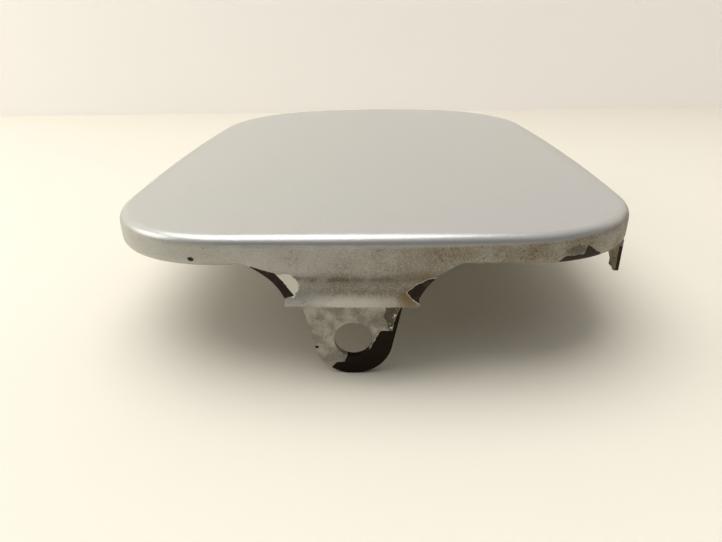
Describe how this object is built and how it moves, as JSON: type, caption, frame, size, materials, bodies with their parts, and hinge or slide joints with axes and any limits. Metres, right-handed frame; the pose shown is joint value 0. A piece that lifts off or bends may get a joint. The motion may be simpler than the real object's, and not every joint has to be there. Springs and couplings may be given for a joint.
{
  "type": "fuel filler flap",
  "caption": "Pressed steel fuel filler flap of a car: crowned painted skin with a hemmed skirt, flared lock tongue, lock lug with an eye and a goose-neck hinge strap.",
  "frame": {"origin": "centre of the rolled hinge eye, on the hinge axis, in the middle of the strap's width", "axes": "+X along the hinge axis, +Y from the lock end towards the hinge end, +Z out of the painted face"},
  "size_m": [0.142, 0.2266, 0.0358],
  "materials": {
    "outer_skin": "silver metallic paint, clear coat, flaked at the edges",
    "inner_panel": "silver paint, thin and dusty",
    "lock_lug": "dirty silver paint worn to dark rust",
    "hinge_strap": "silver paint, worn bright in the eye"
  },
  "bodies": {
    "root": {"outer_skin": "outer_skin", "inner_panel": "inner_panel", "lock_lug": "lock_lug", "hinge_strap": "hinge_strap"}
  },
  "joints": []
}
